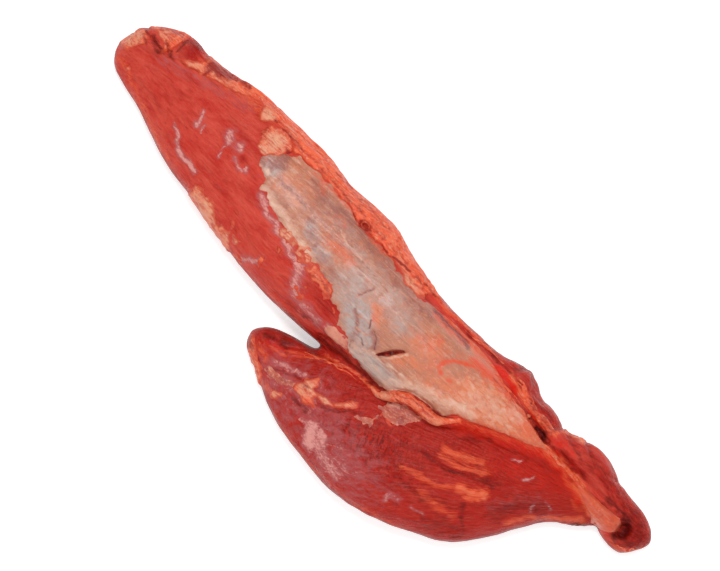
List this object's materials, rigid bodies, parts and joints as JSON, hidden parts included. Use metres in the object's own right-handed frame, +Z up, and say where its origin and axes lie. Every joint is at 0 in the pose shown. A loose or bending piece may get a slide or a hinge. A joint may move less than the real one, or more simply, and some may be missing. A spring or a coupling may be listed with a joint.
{
  "type": "peeled beef tenderloin",
  "caption": "Whole raw beef tenderloin, peeled of most fat, side muscle on, lying flat with its silverskin up; the head's wing muscle lies along one side.",
  "frame": {"origin": "middle of the meat's length and width, on the surface it lies on", "axes": "+X from the thin tail to the head, +Y towards the side strap, +Z up, out of the silverskin"},
  "size_m": [0.559, 0.1868, 0.058],
  "materials": {
    "lean": "moist raw red beef, fibres along its length, satin",
    "silverskin": "thin moist membrane, pearly grey to warm beige, satin",
    "fat": "soft raw beef fat, cream to pink-orange, satin",
    "sinew": "moist pink-orange tendon and seam tissue, satin"
  },
  "bodies": {
    "root": {"tenderloin": "lean"}
  },
  "joints": []
}
